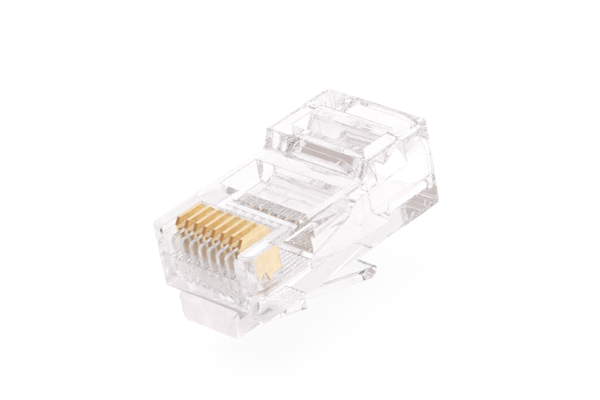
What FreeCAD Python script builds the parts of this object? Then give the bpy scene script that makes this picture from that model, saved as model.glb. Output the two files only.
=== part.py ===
import FreeCAD, Part
import math
import os
import Sketcher
from types import SimpleNamespace

# Eight-way modular plug, before crimping. Millimetres.
# +X runs from the nose to the cable entry, +Z is the contact side, and the plug is
# symmetric about Y = 0. The origin lies on the nose's front plane, on the centreline,
# level with the underside of the body.

drivingSizes = {
    # body
    "bodyLength": 21.8,
    "bodyWidth": 11.68,
    "noseHeight": 6.3,
    "blockHeight": 7.9,
    "blockFoot": 13.45,
    "blockLean": 0.7,
    "footRound": 0.4,
    "blockCorner": 0.8,
    "edgeRound": 0.3,
    "noseCorner": 1.0,
    "noseChamfer": 0.6,
    # contacts and the slots they are pressed into
    "contactCount": 8,
    "contactPitch": 1.016,
    "bladeThick": 0.34,
    "bladeFront": 1.1,
    "bladeLength": 2.95,
    "bladeTop": 6.75,
    "bladeLead": 0.38,
    "bladeLeadDrop": 0.53,
    "bladeBack": 0.06,
    "heelReach": 0.55,
    "heelDrop": 0.8,
    "toothHeight": 1.0,
    "outerToothCut": 0.55,
    "toothHalf": 0.33,
    "toothPitch": 1.1,
    "firstTooth": 0.52,
    "crimpedHeight": 6.02,
    "slotGap": 0.03,
    "troughFloor": 5.8,
    "troughWidth": 8.7,
    "troughRear": 4.68,
    "ribRound": 0.42,
    "frontSlotWidth": 0.62,
    "frontSlotFloor": 3.8,
    # conductor channels and the funnel that feeds them
    "wireBore": 0.94,
    "wireAxis": 1.85,
    "wireFront": 0.9,
    "funnelFront": 7.0,
    "funnelWidth": 8.3,
    "funnelThroat": 2.95,
    "funnelInset": 1.7,
    "funnelShelf": 0.45,
    "funnelRear": 4.7,
    "funnelLead": 0.25,
    "funnelArch": 2.6,
    # cavity for the cable jacket
    "cavityWidth": 8.4,
    "cavityFloor": 0.85,
    "cavityRoof": 6.35,
    "cavityCorner": 2.2,
    "cavityFront": 14.35,
    "mouthChamfer": 0.35,
    # window and clamp over the conductors
    "wireWindowFront": 7.5,
    "wireWindowRear": 11.8,
    "wireWindowWidth": 9.9,
    "wireWindowFloor": 4.1,
    "wireClampWidth": 7.7,
    "wireClampThick": 0.8,
    "wireClampFall": 0.85,
    "wireThroatRise": 0.4,
    "webWidth": 0.55,
    "webThick": 0.3,
    # window and clamp over the jacket
    "jacketWindowInset": 2.65,
    "jacketWindowLength": 3.6,
    "jacketWindowWidth": 8.2,
    "jacketClampThick": 1.0,
    "jacketClampTop": 0.8,
    "jacketClampReach": 2.0,
    "jacketClampDrop": 1.35,
    "jacketClampBite": 0.3,
    "clampGap": 0.05,
    # chin and latch
    "chinFront": 0.5,
    "chinWidth": 6.6,
    "chinDepth": 1.95,
    "chinCorner": 0.8,
    "chinRound": 0.35,
    "chinTop": 0.3,
    "chinSlope": 0.4,
    "chinHold": 0.05,
    "latchRoot": 2.5,
    "latchThick": 1.0,
    "latchSlope": 15.7,
    "latchHead": 4.93,
    "shoulderLean": 0.27,
    "latchHeadWidth": 6.1,
    "latchLength": 14.91,
    "latchTailWidth": 3.25,
    "latchTipRound": 0.75,
    "latchGap": 0.03,
}


class Size:
    """A length together with the sheet formula that gives it."""

    def __init__(self, formula, value):
        self.formula = formula
        self.value = value

    def __add__(self, other):
        other = asSize(other)
        return Size("(%s + %s)" % (self.formula, other.formula), self.value + other.value)

    def __sub__(self, other):
        other = asSize(other)
        return Size("(%s - %s)" % (self.formula, other.formula), self.value - other.value)

    def __rsub__(self, other):
        return asSize(other) - self

    def __mul__(self, other):
        other = asSize(other)
        return Size("(%s * %s)" % (self.formula, other.formula), self.value * other.value)

    def __truediv__(self, other):
        other = asSize(other)
        return Size("(%s / %s)" % (self.formula, other.formula), self.value / other.value)

    def __neg__(self):
        return Size("(0 - %s)" % self.formula, -self.value)

    __radd__ = __add__
    __rmul__ = __mul__


def asSize(value):
    if isinstance(value, Size):
        return value
    return Size("%.6g" % value, float(value))


doc = FreeCAD.newDocument("ModularPlug")
sheet = doc.addObject("Spreadsheet::Sheet", "sizes")
for row, (alias, value) in enumerate(drivingSizes.items(), start=1):
    sheet.set("A%d" % row, alias)
    sheet.set("B%d" % row, str(value))
    sheet.setAlias("B%d" % row, alias)
doc.recompute()

size = SimpleNamespace(
    **{alias: Size("sizes." + alias, value) for alias, value in drivingSizes.items()}
)


def newBody(name):
    body = doc.addObject("PartDesign::Body", name)
    body.Label = name
    return body


def newSketch(body, name, role, lift=0):
    # A sketch on one of the body's own origin planes, moved along the plane's normal.
    plane = [feature for feature in body.Origin.OriginFeatures if feature.Role == role][0]
    sketch = body.newObject("Sketcher::SketchObject", name)
    sketch.AttachmentSupport = [(plane, "")]
    sketch.MapMode = "FlatFace"
    lift = asSize(lift)
    sketch.AttachmentOffset = FreeCAD.Placement(
        FreeCAD.Vector(0, 0, lift.value), FreeCAD.Rotation()
    )
    sketch.setExpression("AttachmentOffset.Base.z", lift.formula)
    return sketch


def holdPoint(sketch, line, end, x, y):
    # Ties one point of a sketch to two formulas, measured from the sketch's origin.
    for kind, place in (("DistanceX", x), ("DistanceY", y)):
        index = sketch.addConstraint(
            Sketcher.Constraint(kind, -1, 1, line, end, place.value)
        )
        sketch.setExpression("Constraints[%d]" % index, place.formula)


def arcBetween(start, end, radius):
    # The short arc from start to end that bulges to the right of that direction.
    middle = (start + end) * 0.5
    along = end - start
    half = along.Length / 2
    side = FreeCAD.Vector(along.y, -along.x, 0).normalize()
    centre = middle - side * math.sqrt(radius**2 - half**2)
    return Part.Arc(start, centre + side * radius, end)


def addLoop(sketch, corners, arcs=None):
    # arcs gives the radius of each side that is round, by its number
    arcs = arcs or {}
    corners = [(asSize(x), asSize(y)) for x, y in corners]
    vectors = [FreeCAD.Vector(x.value, y.value, 0) for x, y in corners]
    first = sketch.GeometryCount
    count = len(corners)
    ends = {}
    for index in range(count):
        start, end = vectors[index], vectors[(index + 1) % count]
        if index in arcs:
            sketch.addGeometry(arcBetween(start, end, arcs[index].value))
            firstEnd = sketch.getPoint(first + index, 1)
            ends[index] = (1, 2) if firstEnd.distanceToPoint(start) < 1e-6 else (2, 1)
        else:
            sketch.addGeometry(Part.LineSegment(start, end))
            ends[index] = (1, 2)
    for index in range(count):
        after = (index + 1) % count
        sketch.addConstraint(Sketcher.Constraint(
            "Coincident", first + index, ends[index][1], first + after, ends[after][0]
        ))
        holdPoint(sketch, first + index, ends[index][0], *corners[index])
    for index, radius in arcs.items():
        held = sketch.addConstraint(Sketcher.Constraint("Radius", first + index, radius.value))
        sketch.setExpression("Constraints[%d]" % held, radius.formula)


def addCircle(sketch, x, y, radius):
    x, y, radius = asSize(x), asSize(y), asSize(radius)
    centre = FreeCAD.Vector(x.value, y.value, 0)
    line = sketch.addGeometry(Part.Circle(centre, FreeCAD.Vector(0, 0, 1), radius.value))
    holdPoint(sketch, line, 3, x, y)
    index = sketch.addConstraint(Sketcher.Constraint("Radius", line, radius.value))
    sketch.setExpression("Constraints[%d]" % index, radius.formula)


def addRoundedBox(sketch, halfWidth, low, high, corner):
    # A rectangle centred on the sketch's upright axis, with four round corners.
    left, right = -halfWidth + corner, halfWidth - corner
    lower, upper = low + corner, high - corner
    sides = [
        ((left, low), (right, low)),
        ((halfWidth, lower), (halfWidth, upper)),
        ((right, high), (left, high)),
        ((-halfWidth, upper), (-halfWidth, lower)),
    ]
    centres = [(right, lower), (right, upper), (left, upper), (left, lower)]
    first = sketch.GeometryCount
    for start, end in sides:
        vectors = [FreeCAD.Vector(x.value, y.value, 0) for x, y in (start, end)]
        line = sketch.addGeometry(Part.LineSegment(*vectors))
        holdPoint(sketch, line, 1, *start)
        holdPoint(sketch, line, 2, *end)
    for index, (x, y) in enumerate(centres):
        centre = FreeCAD.Vector(x.value, y.value, 0)
        circle = Part.Circle(centre, FreeCAD.Vector(0, 0, 1), corner.value)
        turn = math.radians(90 * (index - 1))
        arc = sketch.addGeometry(Part.ArcOfCircle(circle, turn, turn + math.pi / 2))
        following = first + (index + 1) % 4
        sketch.addConstraint(Sketcher.Constraint("Coincident", first + index, 2, arc, 1))
        sketch.addConstraint(Sketcher.Constraint("Coincident", arc, 2, following, 1))
        held = sketch.addConstraint(Sketcher.Constraint("Radius", arc, corner.value))
        sketch.setExpression("Constraints[%d]" % held, corner.formula)


def extrude(body, kind, name, sketch, length, bothWays=True, backwards=False):
    feature = body.newObject("PartDesign::" + kind, name)
    feature.Profile = sketch
    feature.Length = length.value
    feature.setExpression("Length", length.formula)
    feature.SideType = "Symmetric" if bothWays else "One side"
    feature.Reversed = backwards
    doc.recompute()
    return feature


def roundEdges(body, name, radius, chosen, kind="Fillet"):
    # Rounds or chamfers the edges of the body for which chosen(edge) is true.
    base = body.Tip
    names = [
        "Edge%d" % number
        for number, edge in enumerate(base.Shape.Edges, start=1)
        if chosen(edge)
    ]
    feature = body.newObject("PartDesign::" + kind, name)
    feature.Base = (base, names)
    key = "Radius" if kind == "Fillet" else "Size"
    setattr(feature, key, radius.value)
    feature.setExpression(key, radius.formula)
    doc.recompute()
    return feature


def near(first, second):
    return abs(first - second) < 1e-4


def alongAxis(edge, axis):
    # True for a straight edge that runs along the named axis.
    box = edge.BoundBox
    spans = {"x": box.XLength, "y": box.YLength, "z": box.ZLength}
    return spans.pop(axis) > 1e-4 and max(spans.values()) < 1e-4


above = 2.0  # how far a cutting shape reaches past the surface it opens
jacketWindowRear = size.bodyLength - size.jacketWindowInset
jacketWindowFront = jacketWindowRear - size.jacketWindowLength
# a crimped blade's teeth reach the middle of the conductors
crimpTravel = size.bladeTop - size.crimpedHeight
bladeTip = size.wireAxis + crimpTravel
bladeRear = size.bladeFront + size.bladeLength
# before crimping the heels rest just above the trough's floor
heelFoot = size.troughFloor + size.slotGap


def rowPlaces():
    # Y of each contact, from the one at the left seen from the nose with contacts up.
    count = drivingSizes["contactCount"]
    return [size.contactPitch * ((count - 1) / 2 - index) for index in range(count)]


def buildHousingShell():
    body = newBody("housing")
    blockTop = size.blockFoot + size.blockLean
    profile = newSketch(body, "housingProfile", "XZ_Plane")
    addLoop(profile, [
        (size.noseChamfer, 0),
        (size.bodyLength, 0),
        (size.bodyLength, size.blockHeight),
        (blockTop, size.blockHeight),
        (size.blockFoot, size.noseHeight),
        (0, size.noseHeight),
        (0, size.noseChamfer),
    ])
    extrude(body, "Pad", "housingBlock", profile, size.bodyWidth)

    def noseCornerEdge(edge):
        return alongAxis(edge, "z") and near(edge.CenterOfMass.x, 0)

    roundEdges(body, "noseCorners", size.noseCorner, noseCornerEdge)
    rear = drivingSizes["bodyLength"]

    def blockCornerEdge(edge):
        return alongAxis(edge, "z") and near(edge.CenterOfMass.x, rear)

    roundEdges(body, "blockCorners", size.blockCorner, blockCornerEdge)
    foot = drivingSizes["blockFoot"]

    def footEdge(edge):
        return alongAxis(edge, "y") and near(edge.CenterOfMass.x, foot)

    roundEdges(body, "stepFoot", size.footRound, footEdge)

    half = drivingSizes["bodyWidth"] / 2
    length = drivingSizes["bodyLength"]
    top = drivingSizes["blockHeight"]

    def outerEdge(edge):
        if alongAxis(edge, "z"):
            return False
        centre = edge.CenterOfMass
        box = edge.BoundBox
        onSide = near(abs(box.YMin), half) and near(abs(box.YMax), half) and box.YLength < 1
        return onSide or near(centre.x, length) or (near(centre.z, top) and box.YLength > 1)

    roundEdges(body, "outerEdges", size.edgeRound, outerEdge)
    return body


def cutContactRow(body):
    half = size.troughWidth / 2
    over = size.blockHeight + above
    trough = newSketch(body, "troughProfile", "XZ_Plane")
    addLoop(trough, [
        (-above, size.troughFloor),
        (size.troughRear, size.troughFloor),
        (size.troughRear, over),
        (-above, over),
    ])
    extrude(body, "Pocket", "trough", trough, half * 2)
    floorHeight = drivingSizes["troughFloor"]

    def ribFrontEdge(edge):
        centre = edge.CenterOfMass
        return alongAxis(edge, "y") and near(centre.x, 0) and near(centre.z, floorHeight)

    roundEdges(body, "ribFronts", size.ribRound, ribFrontEdge)

    frontSlots = newSketch(body, "frontSlotProfile", "YZ_Plane")
    slitStart = size.bladeFront - size.slotGap
    slits = newSketch(body, "slitProfile", "YZ_Plane", slitStart)
    heels = newSketch(body, "heelSlitProfile", "YZ_Plane", bladeRear)
    # a crimped blade stops two running gaps short of the floors under it
    slitFloor = bladeTip - crimpTravel - 2 * size.slotGap
    heelFloor = heelFoot - crimpTravel - 2 * size.slotGap
    for place in rowPlaces():
        wide = size.frontSlotWidth / 2
        addLoop(frontSlots, [
            (place - wide, size.frontSlotFloor),
            (place + wide, size.frontSlotFloor),
            (place + wide, over),
            (place - wide, over),
        ])
        narrow = size.bladeThick / 2 + size.slotGap
        addLoop(slits, [
            (place - narrow, slitFloor),
            (place + narrow, slitFloor),
            (place + narrow, over),
            (place - narrow, over),
        ])
        addLoop(heels, [
            (place - narrow, heelFloor),
            (place + narrow, heelFloor),
            (place + narrow, over),
            (place - narrow, over),
        ])
    frontDepth = size.bladeFront + size.bladeLead
    extrude(body, "Pocket", "frontSlots", frontSlots, frontDepth, False, True)
    slitLength = size.bladeLength + 2 * size.slotGap
    extrude(body, "Pocket", "slits", slits, slitLength, False, True)
    heelLength = size.heelReach + size.slotGap
    extrude(body, "Pocket", "heelSlits", heels, heelLength, False, True)


def cutCable(body):
    channels = newSketch(body, "channelProfile", "YZ_Plane", size.wireFront)
    for place in rowPlaces():
        addCircle(channels, place, size.wireAxis, size.wireBore / 2)
    channelLength = size.funnelFront - size.wireFront + size.edgeRound
    extrude(body, "Pocket", "channels", channels, channelLength, False, True)

    # its roof runs under the window's ledges and then arches up to the cavity
    bore = size.wireBore / 2
    funnel = newSketch(body, "funnelProfile", "XZ_Plane")
    addLoop(funnel, [
        (size.funnelFront, size.wireAxis - bore),
        (size.cavityFront + above, size.cavityFloor),
        (size.cavityFront + above, size.funnelRear),
        (size.blockFoot + size.funnelLead, size.funnelRear),
        (size.wireWindowRear, size.wireWindowFloor - size.funnelShelf),
        (size.wireWindowFront + size.funnelInset, size.funnelThroat),
        (size.funnelFront, size.wireAxis + bore),
    ], {3: size.funnelArch})
    extrude(body, "Pocket", "funnel", funnel, size.funnelWidth)

    entry = newSketch(body, "entryProfile", "YZ_Plane", size.cavityFront)
    half = size.cavityWidth / 2
    addRoundedBox(entry, half, size.cavityFloor, size.cavityRoof, size.cavityCorner)
    entryLength = size.bodyLength - size.cavityFront
    extrude(body, "Pocket", "entry", entry, entryLength, False, True)

    def mouthEdge(edge):
        box = edge.BoundBox
        onRear = near(box.XMin, size.bodyLength.value) and near(box.XMax, size.bodyLength.value)
        return onRear and max(box.YMax, -box.YMin) < half.value + 0.01

    roundEdges(body, "mouthLead", size.mouthChamfer, mouthEdge, "Chamfer")


def cutWindows(body):
    over = size.blockHeight + above
    wire = newSketch(body, "wireWindowProfile", "XZ_Plane")
    addLoop(wire, [
        (size.wireWindowFront, size.wireWindowFloor),
        (size.wireWindowRear, size.wireWindowFloor),
        (size.wireWindowRear, over),
        (size.wireWindowFront, over),
    ])
    extrude(body, "Pocket", "wireWindow", wire, size.wireWindowWidth)

    # the throat lets the flap swing down between the ledges
    throat = newSketch(body, "wireThroatProfile", "XZ_Plane")
    addLoop(throat, [
        (size.wireWindowFront, size.wireAxis + size.wireThroatRise),
        (size.wireWindowRear, size.wireAxis + size.wireThroatRise),
        (size.wireWindowRear, size.wireWindowFloor + size.edgeRound),
        (size.wireWindowFront, size.wireWindowFloor + size.edgeRound),
    ])
    throatWidth = size.wireClampWidth + 2 * size.clampGap
    extrude(body, "Pocket", "wireThroat", throat, throatWidth)

    jacket = newSketch(body, "jacketWindowProfile", "XZ_Plane")
    addLoop(jacket, [
        (jacketWindowFront, size.cavityRoof - size.cavityCorner),
        (jacketWindowRear, size.cavityRoof - size.cavityCorner),
        (jacketWindowRear, over),
        (jacketWindowFront, over),
    ])
    extrude(body, "Pocket", "jacketWindow", jacket, size.jacketWindowWidth)


def addChin(body):
    # The chin is the thick root under the nose that the latch springs from.
    rootHeight = -(size.chinDepth - size.latchThick / 2)
    chinRear = size.latchRoot - size.chinHold
    profile = newSketch(body, "chinProfile", "XZ_Plane")
    addLoop(profile, [
        (-size.chinFront, -size.chinDepth),
        (chinRear - size.chinSlope, -size.chinDepth),
        (chinRear, rootHeight),
        (chinRear, size.chinTop),
        (size.noseChamfer, size.chinTop + size.chinSlope),
        (0, size.chinTop + size.chinSlope),
        (-size.chinFront, size.chinTop),
    ])
    extrude(body, "Pad", "chin", profile, size.chinWidth)
    half = drivingSizes["chinWidth"] / 2
    front = -drivingSizes["chinFront"]
    depth = -drivingSizes["chinDepth"]

    def lowerSideEdge(edge):
        centre = edge.CenterOfMass
        return alongAxis(edge, "x") and near(centre.z, depth) and near(abs(centre.y), half)

    def frontRimEdge(edge):
        box = edge.BoundBox
        return near(box.XMin, front) and near(box.XMax, front)

    roundEdges(body, "chinCorners", size.chinCorner, lowerSideEdge)
    roundEdges(body, "chinRim", size.chinRound, frontRimEdge)
    seat = newSketch(body, "latchSeatProfile", "XZ_Plane")
    addCircle(seat, size.latchRoot, rootHeight, size.latchThick / 2 + size.latchGap)
    extrude(body, "Pocket", "latchSeat", seat, size.bodyWidth)


def buildLatch():
    # Drawn straight along +X from its root, then hung at its own slope.
    body = newBody("latch_lever")
    half = size.latchThick / 2
    root = newSketch(body, "rootProfile", "XZ_Plane")
    addCircle(root, 0, 0, half)
    extrude(body, "Pad", "latchRootRoll", root, size.latchHeadWidth)
    head = newSketch(body, "headProfile", "XZ_Plane")
    addLoop(head, [
        (0, -half),
        (size.latchHead + size.shoulderLean, -half),
        (size.latchHead, half),
        (0, half),
    ])
    extrude(body, "Pad", "latchHeadPlate", head, size.latchHeadWidth)
    tail = newSketch(body, "tailProfile", "XZ_Plane")
    addLoop(tail, [
        (half, -half),
        (size.latchLength, -half),
        (size.latchLength, half),
        (half, half),
    ])
    extrude(body, "Pad", "latchTail", tail, size.latchTailWidth)
    end = drivingSizes["latchLength"]
    under = -drivingSizes["latchThick"] / 2

    def tipEdge(edge):
        centre = edge.CenterOfMass
        return alongAxis(edge, "y") and near(centre.x, end) and near(centre.z, under)

    roundEdges(body, "latchTip", size.latchTipRound, tipEdge)
    rootHeight = -(size.chinDepth - half)
    body.Placement = FreeCAD.Placement(
        FreeCAD.Vector(size.latchRoot.value, 0, rootHeight.value),
        FreeCAD.Rotation(FreeCAD.Vector(0, 1, 0), size.latchSlope.value),
    )
    body.setExpression("Placement.Base.x", size.latchRoot.formula)
    body.setExpression("Placement.Base.z", rootHeight.formula)
    body.setExpression("Placement.Rotation.Angle", size.latchSlope.formula + " * 1 deg")
    return body


def buildContact(number, place):
    # A flat blade: chamfered nose, sloping heel, and two teeth that pierce the conductor.
    body = newBody("contact_%d" % number)
    front = size.bladeFront
    heel = bladeRear + size.heelReach
    shoulder = bladeTip + size.outerToothCut
    notch = bladeTip + size.toothHeight
    firstTip = front + size.firstTooth
    secondTip = firstTip + size.toothPitch
    profile = newSketch(body, "bladeProfile%d" % number, "XZ_Plane")
    addLoop(profile, [
        (front, size.bladeTop - size.bladeLeadDrop),
        (front + size.bladeLead, size.bladeTop),
        (bladeRear - size.bladeBack, size.bladeTop),
        (bladeRear, size.bladeTop - size.bladeBack),
        (heel, size.bladeTop - size.heelDrop),
        (heel, heelFoot),
        (bladeRear, heelFoot),
        (bladeRear, shoulder),
        (secondTip + size.toothHalf, shoulder),
        (secondTip, bladeTip),
        (secondTip - size.toothHalf, notch),
        (firstTip + size.toothHalf, notch),
        (firstTip, bladeTip),
        (front, shoulder),
    ])
    extrude(body, "Pad", "blade%d" % number, profile, size.bladeThick)
    body.Placement.Base.y = place.value
    body.setExpression("Placement.Base.y", place.formula)
    return body


def buildClamp(name, width, roll, corners, axisX, axisZ):
    # A clamp turns on the roll along its root. Its profile is drawn about the roll's axis.
    body = newBody(name)
    root = newSketch(body, name + "Root", "XZ_Plane")
    addCircle(root, 0, 0, roll)
    extrude(body, "Pad", name + "Roll", root, width)
    bar = newSketch(body, name + "Profile", "XZ_Plane")
    addLoop(bar, corners)
    extrude(body, "Pad", name + "Bar", bar, width)
    body.Placement.Base = FreeCAD.Vector(axisX.value, 0, axisZ.value)
    body.setExpression("Placement.Base.x", axisX.formula)
    body.setExpression("Placement.Base.z", axisZ.formula)
    return body


def buildWireClamp():
    # A flap that slopes down into the window from its front wall.
    roll = size.wireClampThick / 2
    reach = size.wireWindowRear - size.wireWindowFront - 2 * (roll + size.clampGap)
    corners = [
        (0, -roll),
        (reach, -size.wireClampFall - roll),
        (reach, -size.wireClampFall + roll),
        (0, roll),
    ]
    axisX = size.wireWindowFront + roll + size.clampGap
    axisZ = size.wireWindowFloor + roll
    body = buildClamp("conductor_clamp", size.wireClampWidth, roll, corners, axisX, axisZ)
    # a stub of the web that holds the flap's free edge in the mould
    web = newSketch(body, "webProfile", "XZ_Plane")
    low = -size.wireClampFall - size.webThick / 2
    addLoop(web, [
        (reach - roll, low),
        (reach + roll, low),
        (reach + roll, low + size.webThick),
        (reach - roll, low + size.webThick),
    ])
    extrude(body, "Pad", "web", web, size.webWidth)
    return body


def buildJacketClamp():
    # A wedge: flat on top, with a front face that leans forward to the biting edge.
    roll = size.jacketClampThick / 2
    corners = [
        (0, roll),
        (-size.jacketClampTop, roll),
        (-size.jacketClampReach, -size.jacketClampDrop),
        (size.jacketClampBite - size.jacketClampReach, -size.jacketClampDrop),
        (0, -roll),
    ]
    width = size.jacketWindowWidth - 2 * size.clampGap
    axisX = jacketWindowRear - roll - size.clampGap
    axisZ = size.blockHeight - roll - size.clampGap
    return buildClamp("jacket_clamp", width, roll, corners, axisX, axisZ)


housing = buildHousingShell()
cutCable(housing)
cutWindows(housing)
cutContactRow(housing)
addChin(housing)
parts = [housing, buildLatch()]
for number, place in enumerate(rowPlaces(), start=1):
    parts.append(buildContact(number, place))

parts.append(buildWireClamp())
parts.append(buildJacketClamp())

doc.recompute()
for item in doc.Objects:
    if "Invalid" in item.State or "Error" in item.State:
        raise RuntimeError("%s failed: %s" % (item.Name, item.State))
for part in parts:
    if part.Shape.isNull() or not part.Shape.isValid() or len(part.Shape.Solids) != 1:
        raise RuntimeError("%s is not one sound solid" % part.Label)

os.makedirs("parts", exist_ok=True)
for part in parts:
    part.Shape.exportStep("parts/%s.step" % part.Label)
    print("%-16s %8.3f mm3" % (part.Label, part.Shape.Volume))
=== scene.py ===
import math

import bmesh
import bpy
from mathutils import Matrix, Vector


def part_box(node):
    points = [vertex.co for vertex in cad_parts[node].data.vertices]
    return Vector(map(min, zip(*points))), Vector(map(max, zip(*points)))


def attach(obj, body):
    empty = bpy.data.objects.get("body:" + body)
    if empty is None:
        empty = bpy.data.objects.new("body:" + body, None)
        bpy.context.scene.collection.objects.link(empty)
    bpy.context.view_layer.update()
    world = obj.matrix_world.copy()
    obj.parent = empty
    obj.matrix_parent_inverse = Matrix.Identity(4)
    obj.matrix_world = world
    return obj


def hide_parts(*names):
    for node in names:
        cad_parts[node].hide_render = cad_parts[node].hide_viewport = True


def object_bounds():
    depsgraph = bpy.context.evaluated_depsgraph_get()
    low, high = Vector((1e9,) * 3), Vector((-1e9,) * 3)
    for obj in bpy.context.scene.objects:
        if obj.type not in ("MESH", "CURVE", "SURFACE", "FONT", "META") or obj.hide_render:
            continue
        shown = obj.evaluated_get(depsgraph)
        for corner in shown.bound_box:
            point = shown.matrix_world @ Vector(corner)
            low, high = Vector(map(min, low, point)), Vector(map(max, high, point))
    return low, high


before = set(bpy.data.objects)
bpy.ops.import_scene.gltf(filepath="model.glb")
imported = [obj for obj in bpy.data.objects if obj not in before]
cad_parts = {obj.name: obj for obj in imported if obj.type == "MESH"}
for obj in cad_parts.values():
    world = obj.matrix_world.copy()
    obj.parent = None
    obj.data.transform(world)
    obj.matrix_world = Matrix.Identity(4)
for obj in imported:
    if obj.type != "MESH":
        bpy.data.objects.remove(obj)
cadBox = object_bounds()
mm = 0.001
white = (1, 1, 1, 1)
mergeWithin = 0.002   # mm: corners nearer than this are joined
flatAngle = 0.6   # degrees: faces that differ by less are joined
sharpAngle = 28   # degrees: corners above this are rounded off
smoothAngle = 52   # degrees: corners above this stay creased
edgeSteps = 2   # faces across a rounded edge
print("frame loaded")


class Wire:
    # A number's socket, so that shader maths reads as ordinary sums.
    def __init__(self, graph, socket):
        self.graph = graph
        self.socket = socket

    def __add__(self, other):
        return self.graph.maths("ADD", self, other)

    def __sub__(self, other):
        return self.graph.maths("SUBTRACT", self, other)

    def __rsub__(self, other):
        return self.graph.maths("SUBTRACT", other, self)

    def __mul__(self, other):
        return self.graph.maths("MULTIPLY", self, other)

    def __truediv__(self, other):
        return self.graph.maths("DIVIDE", self, other)

    __radd__ = __add__
    __rmul__ = __mul__

    def most(self, other):
        return self.graph.maths("MAXIMUM", self, other)

    def rise(self, low, high):
        # 0 below low, 1 above high, smooth between; also works with low above high
        return self.graph.add(
            "ShaderNodeMapRange", {"interpolation_type": "SMOOTHSTEP"},
            {"Value": self, "From Min": low, "From Max": high},
        )


class Graph:
    # A node tree under construction.
    def __init__(self, tree):
        self.tree = tree
        tree.nodes.clear()

    def add(self, kind, settings=None, values=None, output=0):
        node = self.tree.nodes.new(kind)
        for key, value in (settings or {}).items():
            setattr(node, key, value)
        for key, value in (values or {}).items():
            socket = node.inputs[key]
            if isinstance(value, Wire):
                self.tree.links.new(value.socket, socket)
            else:
                socket.default_value = value
        return Wire(self, node.outputs[output]) if len(node.outputs) else None

    def maths(self, operation, first, second):
        return self.add("ShaderNodeMath", {"operation": operation}, {0: first, 1: second})

    def place(self):
        # Object coordinates in millimetres
        coordinates = self.add("ShaderNodeTexCoord", output="Object")
        return self.add(
            "ShaderNodeVectorMath", {"operation": "SCALE"}, {0: coordinates, "Scale": 1 / mm}
        )

    def split(self, vector):
        parts = self.add("ShaderNodeSeparateXYZ", None, {0: vector}).socket.node
        return [Wire(self, output) for output in parts.outputs]

    def ray(self, kind):
        # 1 for rays of that kind
        return self.add("ShaderNodeLightPath", output="Is %s Ray" % kind)

    def noise(self, vector, scale, detail, rough, stretch=None):
        if stretch:
            vector = self.add(
                "ShaderNodeVectorMath", {"operation": "MULTIPLY"}, {0: vector, 1: stretch}
            )
        return self.add(
            "ShaderNodeTexNoise", {"noise_dimensions": "3D"},
            {"Vector": vector, "Scale": scale, "Detail": detail, "Roughness": rough},
        )

    def blend(self, share, first, second):
        # sockets 6 and 7, and output 2, are the ones for colours
        return self.add(
            "ShaderNodeMix", {"data_type": "RGBA"}, {0: share, 6: first, 7: second}, output=2
        )

    def bump(self, height, strength, distance):
        return self.add(
            "ShaderNodeBump", None,
            {"Strength": strength, "Distance": distance, "Height": height},
        )

    def finish(self, shader, kind="ShaderNodeOutputMaterial"):
        self.add(kind, None, {0: shader})


def newMaterial(name):
    material = bpy.data.materials.new(name)
    material.use_nodes = True
    return material, Graph(material.node_tree)


def deselectAll():
    for item in bpy.context.selected_objects:
        item.select_set(False)


def makeActive(piece):
    deselectAll()
    piece.select_set(True)
    bpy.context.view_layer.objects.active = piece


def copyNode(node, name, materials):
    # A copy of a node's mesh at the same place, with its corners and flat faces joined
    piece = bpy.data.objects.new(name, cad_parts[node].data.copy())
    bpy.context.scene.collection.objects.link(piece)
    piece.data.materials.clear()
    for material in materials:
        piece.data.materials.append(material)
    makeActive(piece)
    bpy.ops.object.mode_set(mode="EDIT")
    bpy.ops.mesh.select_all(action="SELECT")
    bpy.ops.mesh.remove_doubles(threshold=mergeWithin * mm)
    bpy.ops.mesh.dissolve_limited(angle_limit=math.radians(flatAngle))
    bpy.ops.object.mode_set(mode="OBJECT")
    return piece


def addModifier(piece, kind, **settings):
    makeActive(piece)
    bpy.ops.object.modifier_add(type=kind)
    modifier = piece.modifiers[-1]
    for key, value in settings.items():
        setattr(modifier, key, value)
    bpy.ops.object.modifier_apply(modifier=modifier.name)


def within(point, low, high):
    return all(least <= value / mm <= most for least, value, most in zip(low, point, high))


def softenEdges(piece, width, narrow=()):
    # Edges in a narrow place, given as (low, high, share), get that share of the width. The
    # new faces along the edges take the piece's last material.
    shape = bmesh.new()
    shape.from_mesh(piece.data)
    weights = shape.edges.layers.float.new("bevel_weight_edge")
    for edge in shape.edges:
        if edge.is_manifold and math.degrees(edge.calc_face_angle()) > sharpAngle:
            middle = (edge.verts[0].co + edge.verts[1].co) / 2
            shares = [share for low, high, share in narrow if within(middle, low, high)]
            edge[weights] = min(shares, default=1)
    shape.to_mesh(piece.data)
    shape.free()
    addModifier(
        piece, "BEVEL", width=width * mm, segments=edgeSteps, limit_method="WEIGHT",
        harden_normals=False, use_clamp_overlap=False, material=len(piece.data.materials) - 1,
    )
    bpy.ops.object.shade_smooth_by_angle(angle=math.radians(smoothAngle))
    addModifier(piece, "WEIGHTED_NORMAL", keep_sharp=True, weight=50)


def dress(piece, body, slot, *nodes):
    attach(piece, body)
    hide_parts(*nodes)


# clear polycarbonate, shared by the housing, the latch and the clamps

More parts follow.
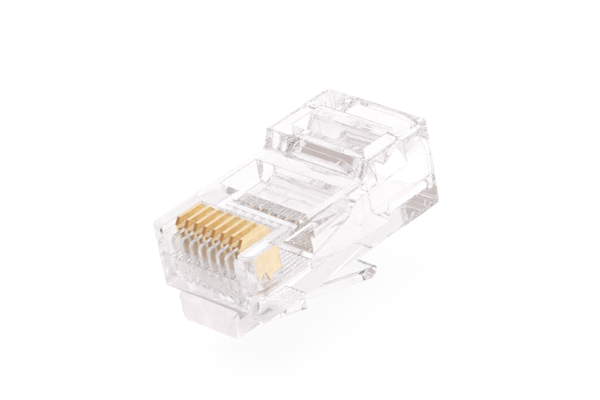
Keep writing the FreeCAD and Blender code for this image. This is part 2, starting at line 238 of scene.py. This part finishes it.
plasticLook = {
    "index": 1.585,
    "tint": (0.985, 0.98, 0.984, 1),
    "deepTint": (0.965, 0.954, 0.962, 1),
    "deepWhere": (0.35, 0.7),
    "milk": (0.93, 0.905, 0.915, 1),
    "milkRough": 0.5,
    "milkThrough": 0.25,
    "gloss": 0.025,
    "haze": 0.03,
    "hazeWhere": (0.5, 0.85),
    "flow": (0.45, 2, 0.5, (0.6, 1, 1.4)),   # noise: scale, detail, roughness, stretch
    "grain": (9, 3, 0.6),
    "waveStrength": 0.5,
    "waveDepth": 0.008,
    "shadowPass": 0.82,
    "shadowTint": (0.97, 0.96, 0.96, 1),
}
# painted shade: the rounded edges are painted darker brown-grey, standing in for the dark room
# that the edges refract
edgeShadeLook = dict(
    plasticLook, tint=(0.80, 0.75, 0.765, 1), deepTint=(0.70, 0.64, 0.65, 1), gloss=0.11,
)
leverLook = dict(plasticLook, tint=(0.99, 0.985, 0.99, 1), deepTint=(0.98, 0.973, 0.98, 1))
frostLook = {
    "cloud": (0.8, 3, 0.6),
    "chinTop": (0.05, -0.08),   # heights where the milk starts and is full
    "chinBack": (3.4, 2.4),
    "nosePlane": (0.02, -0.05),
    "chinCover": (0.66, 0.28),   # everywhere, and what the clouds add
    "ribsBack": (2.6, 0.8),
    "ribsFoot": (1.4, 2.4),
    "ribsCover": (0.05, 0.13),
}
edgeWidth = {"housing": 0.05, "lever": 0.06, "clamp": 0.04}
narrowPlaces = [
    ((-0.1, -4.4, 4.4), (4.7, 4.4, 6.25), 0.3),   # ribs and slots
    ((6.9, -4.2, 1.0), (7.1, 4.2, 3.2), 0.4),   # mouths of the conductor channels
    ((14.2, -2.8, 0.8), (14.5, 2.8, 1.0), 0.3),   # sill of the cavity
    ((14.2, -4.2, 4.6), (16.5, -4.1, 4.8), 0),   # hairline ledges at the cavity's sides
    ((14.2, 4.1, 4.6), (16.5, 4.2, 4.8), 0),
    ((2.0, -3.1, -2.0), (2.2, 3.1, -1.7), 0.3),   # rounded rim of the chin
]


def noseFrost(graph, place, look):
    # the chin is milky, and the plastic round the contacts a little
    x, _, z = graph.split(place)
    cloud = graph.noise(place, *look["cloud"])
    below = z.rise(*look["chinTop"]) * x.rise(*look["chinBack"])
    chin = below.most(x.rise(*look["nosePlane"]))
    ribs = x.rise(*look["ribsBack"]) * z.rise(*look["ribsFoot"])
    chinBase, chinCloud = look["chinCover"]
    ribsBase, ribsCloud = look["ribsCover"]
    return chin * (chinBase + chinCloud * cloud) + ribs * (ribsBase + ribsCloud * cloud)


def clearPlastic(name, look, frost=None):
    material, graph = newMaterial(name)
    place = graph.place()
    flow = graph.noise(place, *look["flow"])
    grain = graph.noise(place, *look["grain"])
    shader = graph.add("ShaderNodeBsdfPrincipled", {"distribution": "MULTI_GGX"}, {
        "Base Color": graph.blend(flow.rise(*look["deepWhere"]), look["tint"], look["deepTint"]),
        "Roughness": look["gloss"] + look["haze"] * grain.rise(*look["hazeWhere"]),
        "IOR": look["index"], "Transmission Weight": 1.0,
        "Normal": graph.bump(flow, look["waveStrength"], look["waveDepth"] * mm),
    })
    if frost:
        milk = graph.add("ShaderNodeBsdfPrincipled", None, {
            "Base Color": look["milk"], "Roughness": look["milkRough"], "IOR": look["index"],
            "Transmission Weight": look["milkThrough"],
        })
        cover = noseFrost(graph, place, frost)
        shader = graph.add("ShaderNodeMixShader", None, {0: cover, 1: shader, 2: milk})
    through = graph.add("ShaderNodeBsdfTransparent", None, {"Color": look["shadowTint"]})
    passed = graph.ray("Shadow") * look["shadowPass"]
    graph.finish(graph.add("ShaderNodeMixShader", None, {0: passed, 1: shader, 2: through}))
    return material


clearPlain = clearPlastic("clearPlastic", plasticLook)
# painted shade: the rounded edges of the clear pieces take this darker material
clearEdgeShade = clearPlastic("clearPlasticPaintedEdgeShade", edgeShadeLook)
clearLever = clearPlastic("clearLeverPlastic", leverLook)
clearHousing = clearPlastic("clearHousingPlastic", plasticLook, frostLook)

housing = copyNode("housing", "mouldedHousing", [clearHousing, clearEdgeShade])
softenEdges(housing, edgeWidth["housing"], narrowPlaces)
dress(housing, "plug_body", "clear_body", "housing")

lever = copyNode("latch_lever", "springLever", [clearLever, clearEdgeShade])
softenEdges(lever, edgeWidth["lever"])
dress(lever, "latch", "clear_latch", "latch_lever")

for node, name in (("conductor_clamp", "wireFlap"), ("jacket_clamp", "jacketWedge")):
    clamp = copyNode(node, name, [clearPlain, clearEdgeShade])
    softenEdges(clamp, edgeWidth["clamp"])
    dress(clamp, node + "_body", "clear_clamp", node)
print("clear pieces made")

# gold-plated contact blades

bladeLook = {
    "count": 8,
    "gold": (1.0, 0.84, 0.55, 1),
    "deepGold": (0.96, 0.75, 0.46, 1),
    "deepWhere": (0.35, 0.75),
    "cloud": (1.6, 2, 0.5),
    # painted shade: the sloping front face is painted darker copper-brown, standing in for the
    # dark room it reflects
    "leadShadeTone": (0.78, 0.42, 0.15, 1),
    "leadShadeShare": 0.9,
    "lead": (0.38, 0.53),   # run and drop of the sloping front edge
    "leadBand": (0.02, 0.005),
    "rolling": (5, 4, 0.6, (1, 8, 1)),
    "rough": 0.14,
    "roughSpread": 0.12,
    "roughWhere": (0.4, 0.8),
    "markStrength": 0.2,
    "markDepth": 0.003,
    "edge": 0.014,
}


def goldPlate(name, look):
    material, graph = newMaterial(name)
    place = graph.place()
    x, _, z = graph.split(place)
    rolled = graph.noise(place, *look["rolling"])
    cloud = graph.noise(place, *look["cloud"])
    low, high = (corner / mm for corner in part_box("contact_1"))
    run, drop = look["lead"]
    lead = (x - low.x) / run - (z - high.z + drop) / drop   # 0 on the sloping front edge
    # painted shade on the sloping front face, where it reflects the dark room
    leadShade = (lead * lead).rise(*look["leadBand"])
    colour = graph.blend(cloud.rise(*look["deepWhere"]), look["gold"], look["deepGold"])
    colour = graph.blend(leadShade * look["leadShadeShare"], colour, look["leadShadeTone"])
    rough = look["rough"] + look["roughSpread"] * rolled.rise(*look["roughWhere"])
    graph.finish(graph.add("ShaderNodeBsdfPrincipled", None, {
        "Base Color": colour, "Metallic": 1.0, "Roughness": rough,
        "Normal": graph.bump(rolled, look["markStrength"], look["markDepth"] * mm),
    }))
    return material


gold = goldPlate("goldPlatedContact", bladeLook)
for number in range(1, bladeLook["count"] + 1):
    node = "contact_%d" % number
    blade = copyNode(node, "goldBlade%d" % number, [gold])
    softenEdges(blade, bladeLook["edge"])
    dress(blade, node + "_body", "gold_plate", node)
print("contact blades made")

# floor, lamps and surroundings

floorLook = {
    "size": 0.6,
    "middle": 0.011,
    "gap": 0.00002,
    "colour": (0.93, 0.925, 0.93, 1),
    "shade": (0.915, 0.91, 0.92, 1),
    "shadeWhere": (0.3, 0.7),
    "paper": (0.05, 3, 0.5),
    "glow": 0.9,
}
roomLook = {
    "viewer": (-0.653, -0.757),   # level direction towards the viewer
    "backTone": (0.92, 0.885, 0.905, 1),
    "backFoot": (0.0, 0.3),
    "backTop": (0.95, 0.7),
    "wallFoot": (0.0, 0.12),
    "wallTop": (0.92, 0.65),
    "viewerTone": (0.76, 0.70, 0.715, 1),
    "viewerWhere": (-0.2, 0.4),
    "darkTone": (0.56, 0.49, 0.475, 1),
    "darkWhere": (0.45, 0.78),
    "surround": 0.85,
}
lampLook = {
    "overheadSoftbox": {
        "watts": 0.35, "size": (0.16, 0.12), "spot": (0.02, 0.03, 0.20), "aim": (0.011, 0, 0),
    },
    "sideSoftbox": {
        "watts": 0.12, "size": (0.10, 0.10), "spot": (-0.10, -0.16, 0.10), "aim": (0.011, 0, 0),
    },
    "lowFill": {
        "watts": 0.008, "size": (0.06, 0.03), "spot": (-0.09, -0.05, 0.006),
        "aim": (0.001, 0, -0.002),
    },
}


def seenDirectly(graph):
    # 1 for camera, glossy and transmission rays
    return graph.ray("Camera").most(graph.ray("Glossy")).most(graph.ray("Transmission"))


def makeFloor(look):
    low = cadBox[0].z
    bpy.ops.mesh.primitive_plane_add(
        size=look["size"], location=(look["middle"], 0, low - look["gap"])
    )
    floor = bpy.context.object
    floor.name = "paleFloor"
    makeActive(floor)
    bpy.ops.object.transform_apply(location=True, rotation=True, scale=True)
    material, graph = newMaterial("paleTable")
    paper = graph.noise(graph.place(), *look["paper"])
    colour = graph.blend(paper.rise(*look["shadeWhere"]), look["colour"], look["shade"])
    matt = graph.add("ShaderNodeBsdfDiffuse", None, {"Color": colour})
    glow = graph.add("ShaderNodeEmission", None, {"Color": white, "Strength": 1.0})
    graph.finish(graph.add(
        "ShaderNodeMixShader", None, {0: seenDirectly(graph) * look["glow"], 1: matt, 2: glow}
    ))
    floor.data.materials.append(material)


def makeWorld(look):
    world = bpy.data.worlds.new("studio")
    bpy.context.scene.world = world
    world.use_nodes = True
    graph = Graph(world.node_tree)
    x, y, z = graph.split(graph.add("ShaderNodeTexCoord", output="Generated"))
    viewerX, viewerY = look["viewer"]
    near = x * viewerX + y * viewerY   # 1 towards the viewer's side of the room
    left = x * viewerY - y * viewerX   # 1 towards its left side
    back = z.rise(*look["backFoot"]) * z.rise(*look["backTop"])
    wall = z.rise(*look["wallFoot"]) * z.rise(*look["wallTop"])
    tone = graph.blend(back, white, look["backTone"])
    tone = graph.blend(wall * near.rise(*look["viewerWhere"]), tone, look["viewerTone"])
    tone = graph.blend(wall * left.rise(*look["darkWhere"]), tone, look["darkTone"])
    shown = graph.blend(graph.ray("Camera"), tone, white)
    strength = look["surround"] + (1 - look["surround"]) * seenDirectly(graph)
    graph.finish(graph.add(
        "ShaderNodeBackground", None, {"Color": shown, "Strength": strength}
    ), "ShaderNodeOutputWorld")


def addLamp(name, look):
    lamp = bpy.data.lights.new(name, "AREA")
    lamp.energy = look["watts"]
    lamp.shape = "RECTANGLE"
    lamp.size, lamp.size_y = look["size"]
    holder = bpy.data.objects.new(name, lamp)
    bpy.context.scene.collection.objects.link(holder)
    holder.visible_camera = holder.visible_glossy = False   # only the room is mirrored
    holder.visible_transmission = False
    spot = Vector(look["spot"])
    holder.location = spot
    holder.rotation_euler = (Vector(look["aim"]) - spot).to_track_quat("-Z", "Y").to_euler()


makeFloor(floorLook)
makeWorld(roomLook)
for name, look in lampLook.items():
    addLamp(name, look)

# the viewing angle

cameraLook = {
    "lens": 202.10,
    "sensor": 36,
    "clip": (0.01, 10),
    "spot": (-144.391, -180.543, 141.815),
    "right": (0.68304, -0.71238, -0.16116),
    "up": (0.46207, 0.25058, 0.85071),
    "ahead": (0.56564, 0.65553, -0.50033),
}


def makeCamera(look):
    camera = bpy.data.cameras.new("viewCamera")
    camera.lens = look["lens"]
    camera.sensor_width = look["sensor"]
    camera.clip_start, camera.clip_end = look["clip"]
    holder = bpy.data.objects.new("viewCamera", camera)
    bpy.context.scene.collection.objects.link(holder)
    right, up, ahead = (Vector(look[key]) for key in ("right", "up", "ahead"))
    turn = Matrix((right, up, -ahead)).transposed().to_4x4()
    holder.matrix_world = Matrix.Translation(Vector(look["spot"]) * mm) @ turn
    bpy.context.scene.camera = holder


makeCamera(cameraLook)

scene = bpy.context.scene
scene.view_settings.view_transform = "Standard"
scene.cycles.max_bounces = 32
scene.cycles.transmission_bounces = 32
scene.cycles.glossy_bounces = 24
scene.cycles.transparent_max_bounces = 24
print("studio made")

deselectAll()
